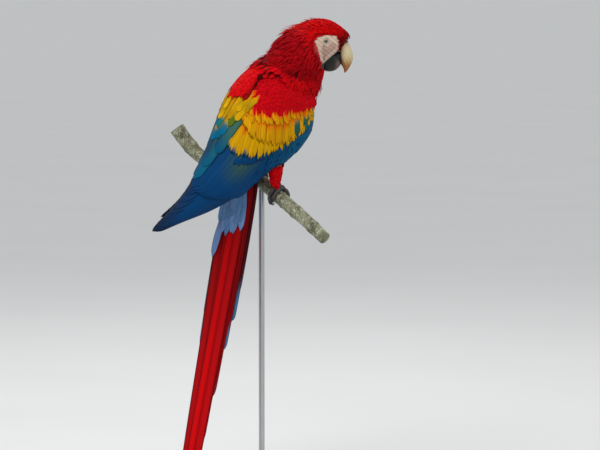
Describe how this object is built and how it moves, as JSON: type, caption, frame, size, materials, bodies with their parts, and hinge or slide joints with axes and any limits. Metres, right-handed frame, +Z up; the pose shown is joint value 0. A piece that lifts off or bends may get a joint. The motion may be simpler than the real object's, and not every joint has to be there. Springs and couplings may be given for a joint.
{
  "type": "scarlet macaw display model",
  "caption": "Life-size perched scarlet macaw with folded wings and a long hanging tail, on a cut branch held by a plain rod stand.",
  "frame": {"origin": "centre of the stand base's underside", "axes": "+Z up, the bird faces -Y and its left side is towards +X"},
  "size_m": [0.4255, 0.4536, 0.9667],
  "materials": {
    "red_feathers": "matte overlapping feathers with a faint silky sheen",
    "yellow_feathers": "matte overlapping feathers with a faint silky sheen",
    "blue_feathers": "firm flight feathers with a silky sheen",
    "pale_blue_feathers": "soft tail coverts, matte",
    "foot_skin": "scaly dry skin",
    "claw_horn": "dark horn, half gloss",
    "pale_horn": "ivory horn, half gloss",
    "dark_horn": "slate-black horn, half gloss",
    "eye_glass": "polished eye with a pale yellow iris",
    "bark": "rough grey-brown bark with pale lichen",
    "stand_steel": "satin steel rod",
    "stand_wood": "dark stained turned wood"
  },
  "bodies": {
    "root": {"bill_lower": "dark_horn", "bill_upper": "pale_horn", "eye_left": "eye_glass", "eye_right": "eye_glass", "head": "red_feathers", "left_toe_1": "foot_skin", "left_toe_1_claw": "claw_horn", "left_toe_2": "foot_skin", "left_toe_2_claw": "claw_horn", "left_toe_3": "foot_skin", "left_toe_3_claw": "claw_horn", "left_toe_4": "foot_skin", "left_toe_4_claw": "claw_horn", "neck": "red_feathers", "perch": "bark", "right_toe_1": "foot_skin", "right_toe_1_claw": "claw_horn", "right_toe_2": "foot_skin", "right_toe_2_claw": "claw_horn", "right_toe_3": "foot_skin", "right_toe_3_claw": "claw_horn", "right_toe_4": "foot_skin", "right_toe_4_claw": "claw_horn", "shank_left": "foot_skin", "shank_right": "foot_skin", "stand_base": "stand_wood", "stand_rod": "stand_steel", "tail_coverts_under": "pale_blue_feathers", "tail_coverts_upper": "pale_blue_feathers", "tail_left_inner": "red_feathers", "tail_left_middle": "red_feathers", "tail_left_outer": "blue_feathers", "tail_right_inner": "red_feathers", "tail_right_middle": "red_feathers", "tail_right_outer": "blue_feathers", "thigh_left": "red_feathers", "thigh_right": "red_feathers", "trunk_breast": "red_feathers", "trunk_rump": "red_feathers", "wing_left_coverts": "yellow_feathers", "wing_left_edge": "blue_feathers", "wing_left_primaries": "blue_feathers", "wing_left_scapulars": "yellow_feathers", "wing_left_secondaries": "blue_feathers", "wing_left_shoulder": "red_feathers", "wing_right_coverts": "yellow_feathers", "wing_right_edge": "blue_feathers", "wing_right_primaries": "blue_feathers", "wing_right_scapulars": "yellow_feathers", "wing_right_secondaries": "blue_feathers", "wing_right_shoulder": "red_feathers"}
  },
  "joints": []
}
